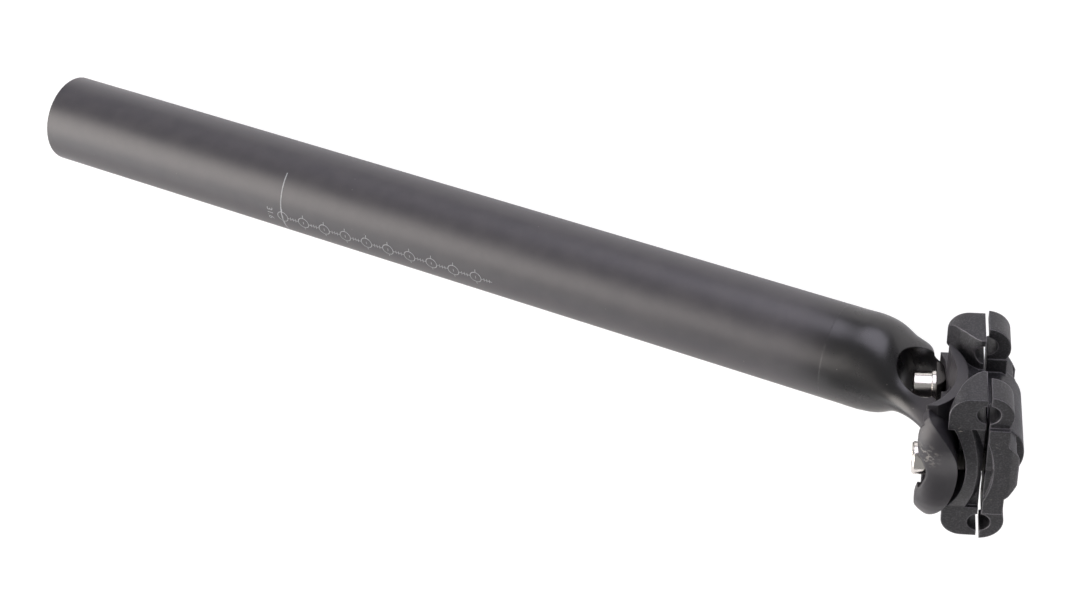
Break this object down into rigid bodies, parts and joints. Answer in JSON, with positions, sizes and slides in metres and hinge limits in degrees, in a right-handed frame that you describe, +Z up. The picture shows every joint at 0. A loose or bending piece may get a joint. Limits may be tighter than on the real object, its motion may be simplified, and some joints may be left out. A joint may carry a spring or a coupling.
{
  "type": "seatpost",
  "caption": "Straight round bicycle seatpost with a one-piece neck and head, a two-bolt rocking saddle clamp and a graduated height scale.",
  "frame": {"origin": "centre of the post's lower end, on the tube's axis", "axes": "+Z up along the tube, +X forward in riding direction, +Y to the rider's left"},
  "size_m": [0.0578, 0.0574, 0.3846],
  "materials": {
    "shaft": "satin clear coat over moulded carbon composite",
    "clamp_forging": "matte black anodised forging",
    "fastener": "polished steel",
    "nut": "plain turned steel"
  },
  "bodies": {
    "post": {"post_shaft": "shaft"},
    "saddle_clamp": {"lower_cradle": "clamp_forging", "upper_clamp": "clamp_forging", "barrel_nut_front": "nut", "barrel_nut_rear": "nut"},
    "front_bolt_set": {"bolt_front": "fastener", "washer_front": "fastener", "seat_washer_front": "fastener"},
    "rear_bolt_set": {"bolt_rear": "fastener", "washer_rear": "fastener", "seat_washer_rear": "fastener"}
  },
  "joints": [
    {"name": "saddle_tilt", "type": "hinge", "parent": "post", "child": "saddle_clamp", "pos_m": [-0.02165, 0, 0.34513], "axis": [0, 1, 0], "range_deg": [-4, 4]},
    {"name": "front_bolt_swing", "type": "hinge", "parent": "post", "child": "front_bolt_set", "pos_m": [-0.00373, 0, 0.34547], "axis": [0, 1, 0], "range_deg": [-5.5, 5.5]},
    {"name": "rear_bolt_swing", "type": "hinge", "parent": "post", "child": "rear_bolt_set", "pos_m": [-0.03435, 0, 0.35778], "axis": [0, 1, 0], "range_deg": [-5.5, 5.5]}
  ],
  "couplings": [
    {"joint": "front_bolt_swing", "follows": "saddle_tilt", "ratio": 1.3139},
    {"joint": "rear_bolt_swing", "follows": "saddle_tilt", "ratio": 1.3139}
  ]
}
